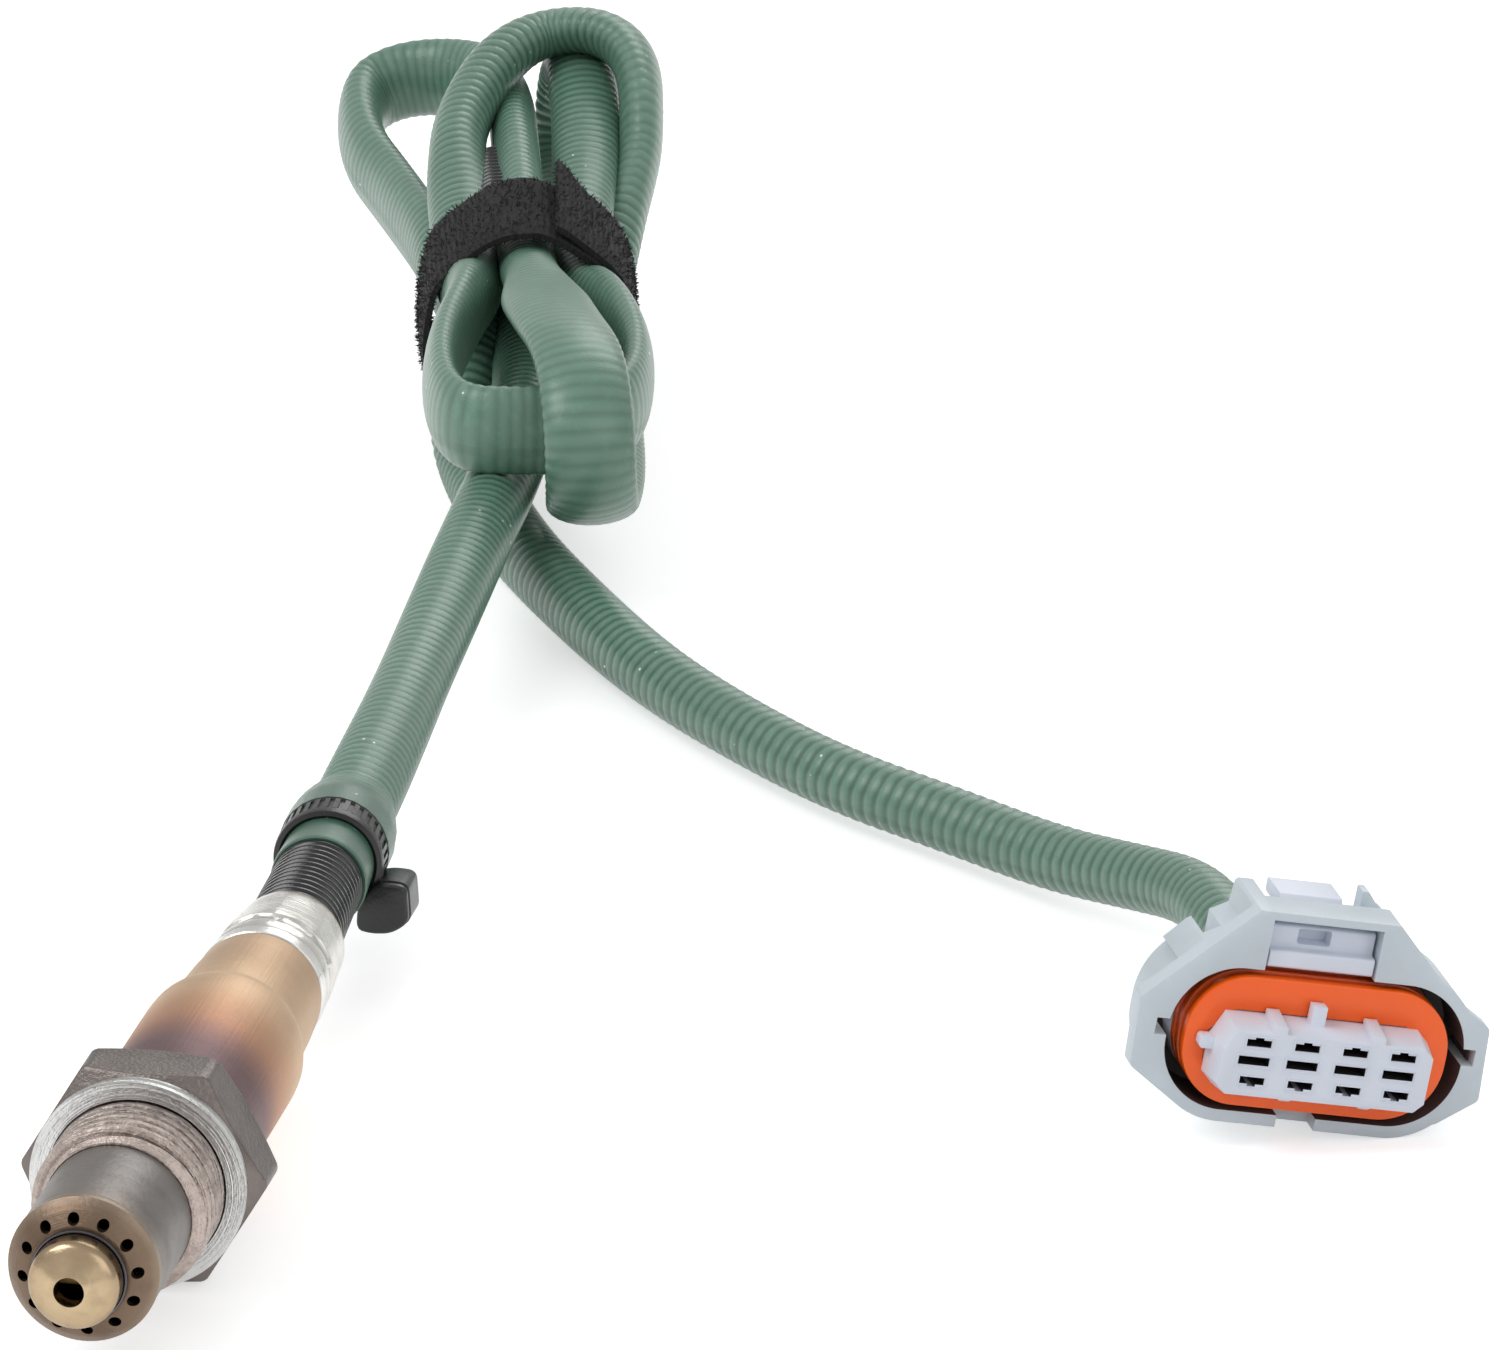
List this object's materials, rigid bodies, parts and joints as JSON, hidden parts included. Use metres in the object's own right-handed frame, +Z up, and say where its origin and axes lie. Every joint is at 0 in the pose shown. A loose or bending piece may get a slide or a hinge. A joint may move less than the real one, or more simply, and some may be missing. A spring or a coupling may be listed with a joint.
{
  "type": "exhaust oxygen sensor with lead and connector",
  "caption": "Heated exhaust oxygen sensor: threaded hex body with perforated tip and tan rear sleeve, green convoluted lead folded in a strapped hank, sealed latch connector.",
  "frame": {"origin": "centre of the thread's rear end in front of the gasket ring, on the thread's axis", "axes": "-Y runs along the thread towards the sensing tip, +Z is up from the surface that the sensor lies on with one flat of its hexagon, +X points to the connector's side"},
  "size_m": [0.1804, 0.3697, 0.0441],
  "materials": {
    "body_steel": "dull brown-grey heat-resistant steel",
    "gasket_steel": "bright rolled steel",
    "tube_steel": "smooth grey steel",
    "dome_steel": "polished straw-coloured steel",
    "ceramic": "white sintered ceramic",
    "terminal_metal": "tin-plated strip",
    "sleeve_steel": "tan heat-tinted steel",
    "collar_steel": "bright crimped steel",
    "black_rubber": "moulded rubber",
    "wire_insulation": "extruded insulation",
    "black_plastic": "black moulded plastic",
    "green_sleeve": "satin green convoluted sleeve",
    "black_textile": "hook-and-loop fabric",
    "shell_plastic": "pale blue-grey moulding",
    "core_plastic": "pale lavender moulding",
    "orange_silicone": "orange silicone"
  },
  "bodies": {
    "sensor": {"sensor_housing": "body_steel", "gasket_ring": "gasket_steel", "outer_protection_tube": "tube_steel", "inner_protection_tube": "dome_steel", "sensing_element": "ceramic", "lower_ceramic_bush": "ceramic", "talc_seal": "ceramic", "upper_ceramic_bush": "ceramic", "contact_holder": "ceramic", "contact_clip_1": "terminal_metal", "contact_clip_2": "terminal_metal", "contact_clip_3": "terminal_metal", "contact_clip_4": "terminal_metal", "protective_sleeve": "sleeve_steel", "crimp_collar": "collar_steel", "cable_grommet": "black_rubber", "lead_wire_1": "wire_insulation", "lead_wire_2": "wire_insulation", "lead_wire_3": "wire_insulation", "lead_wire_4": "wire_insulation", "corrugated_tube": "black_plastic", "cable_tie": "black_plastic", "cord_sensor_side": "green_sleeve", "cord_connector_side": "green_sleeve", "cord_hank": "green_sleeve", "strap": "black_textile", "connector_shell": "shell_plastic", "connector_core": "core_plastic", "contact_terminal_1": "terminal_metal", "contact_terminal_2": "terminal_metal", "contact_terminal_3": "terminal_metal", "contact_terminal_4": "terminal_metal", "seal_ring": "orange_silicone", "rear_cover": "shell_plastic"},
    "latch": {"latch_lever": "core_plastic"}
  },
  "joints": [
    {"name": "latch_rock", "type": "hinge", "parent": "sensor", "child": "latch", "pos_m": [0.10689, 0.07454, 0.00995], "axis": [-0.9115, -0.3775, 0.1633], "range_deg": [0, 3.5], "stiffness_Nm_per_rad": 0.2}
  ]
}
